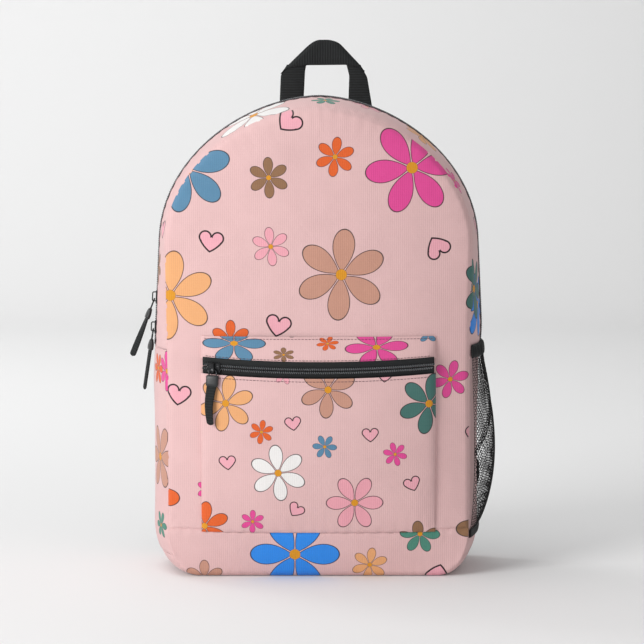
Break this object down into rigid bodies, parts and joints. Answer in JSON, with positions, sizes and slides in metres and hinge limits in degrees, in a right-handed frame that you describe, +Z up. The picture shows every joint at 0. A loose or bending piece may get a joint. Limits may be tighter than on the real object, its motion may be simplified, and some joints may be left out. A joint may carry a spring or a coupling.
{
  "type": "school backpack",
  "caption": "School backpack with a zipped main compartment, zipped front pocket, mesh side pocket, top handle and padded adjustable shoulder straps.",
  "frame": {"origin": "centre of the base on the floor", "axes": "+Z up, -Y towards the front pocket, +X towards the mesh side pocket, the viewer's right"},
  "size_m": [0.3658, 0.2072, 0.5264],
  "materials": {
    "printed_canvas": "woven polyester, matt",
    "lining_cloth": "woven nylon",
    "air_mesh": "padded spacer mesh",
    "black_webbing": "ribbed webbing",
    "mesh_net": "open net",
    "foam": "foam padding",
    "zip_coil": "nylon coil on woven tape",
    "zip_metal": "dark enamelled die-cast metal",
    "moulded_plastic": "fine-grained moulding"
  },
  "bodies": {
    "bag": {"front_base_strip": "printed_canvas", "front_panel": "printed_canvas", "back_panel": "air_mesh", "back_foam": "foam", "back_lining": "lining_cloth", "base_panel": "printed_canvas", "gusset_lower_right": "printed_canvas", "gusset_front_right": "printed_canvas", "zip_stringer_front_right": "zip_coil", "gusset_lower_left": "printed_canvas", "gusset_front_left": "printed_canvas", "zip_stringer_front_left": "zip_coil", "gusset_rear": "printed_canvas", "zip_stringer_rear": "zip_coil", "pocket_face": "printed_canvas", "pocket_top_strip": "printed_canvas", "pocket_stringer_upper": "zip_coil", "pocket_stringer_lower": "zip_coil", "zip_stop_right": "zip_metal", "zip_stop_left": "zip_metal", "mesh_hem": "black_webbing", "mesh_net": "mesh_net", "mesh_elastic": "black_webbing", "inner_pocket": "lining_cloth", "strap_yoke": "black_webbing", "handle_end_left": "black_webbing", "handle_end_right": "black_webbing", "strap_webbing_left": "black_webbing", "strap_anchor_left": "black_webbing", "strap_webbing_right": "black_webbing", "strap_anchor_right": "black_webbing"},
    "front_flap": {"flap_panel": "printed_canvas", "flap_gusset": "printed_canvas", "zip_stringer_flap": "zip_coil"},
    "upper_slider": {"zip_slider_upper": "zip_metal"},
    "upper_pull": {"pull_link_upper": "zip_metal", "pull_tab_upper": "moulded_plastic"},
    "lower_slider": {"zip_slider_lower": "zip_metal"},
    "lower_pull": {"pull_link_lower": "zip_metal", "pull_tab_lower": "moulded_plastic"},
    "pocket_slider": {"zip_slider_pocket": "zip_metal"},
    "pocket_pull": {"pull_link_pocket": "zip_metal", "pull_tab_pocket": "moulded_plastic"},
    "handle": {"top_handle": "black_webbing"},
    "left_strap": {"strap_pad_left": "air_mesh", "ladder_lock_left": "moulded_plastic", "buckle_loop_left": "black_webbing", "webbing_tail_left": "black_webbing"},
    "right_strap": {"strap_pad_right": "air_mesh", "ladder_lock_right": "moulded_plastic", "buckle_loop_right": "black_webbing", "webbing_tail_right": "black_webbing"}
  },
  "joints": [
    {"name": "flap_fold", "type": "hinge", "parent": "bag", "child": "front_flap", "pos_m": [0, -0.0868, 0.33], "axis": [1, 0, 0], "range_deg": [0, 30]},
    {"name": "upper_slider_run", "type": "slide", "parent": "bag", "child": "upper_slider", "axis": [0.0452, 0, 0.999], "range_m": [-0.004, 0.05]},
    {"name": "upper_pull_swing", "type": "hinge", "parent": "upper_slider", "child": "upper_pull", "pos_m": [-0.16329, 0, 0.26794], "axis": [0, 1, 0], "range_deg": [-8, 120]},
    {"name": "lower_slider_run", "type": "slide", "parent": "bag", "child": "lower_slider", "axis": [0.0452, 0, 0.999], "range_m": [-0.004, 0.012]},
    {"name": "lower_pull_swing", "type": "hinge", "parent": "lower_slider", "child": "lower_pull", "pos_m": [-0.16464, 0, 0.23794], "axis": [0, 1, 0], "range_deg": [-3, 14]},
    {"name": "pocket_slider_run", "type": "hinge", "parent": "bag", "child": "pocket_slider", "pos_m": [0, 0.30451, 0.3093], "axis": [0, -0.2516, 0.9678], "range_deg": [0, 27.78]},
    {"name": "pocket_pull_swing", "type": "hinge", "parent": "pocket_slider", "child": "pocket_pull", "pos_m": [-0.10173, -0.08893, 0.20477], "axis": [-0.9702, 0.2346, 0.061], "range_deg": [-1, 80]},
    {"name": "handle_swing", "type": "hinge", "parent": "bag", "child": "handle", "pos_m": [0, 0.074, 0.4616], "axis": [1, 0, 0], "range_deg": [-80, 75], "stiffness_Nm_per_rad": 0.02},
    {"name": "left_strap_swing", "type": "hinge", "parent": "bag", "child": "left_strap", "pos_m": [0, 0.0785, 0.415], "axis": [1, 0, 0], "range_deg": [0, 20]},
    {"name": "right_strap_swing", "type": "hinge", "parent": "bag", "child": "right_strap", "pos_m": [0, 0.0785, 0.415], "axis": [1, 0, 0], "range_deg": [0, 20]}
  ]
}
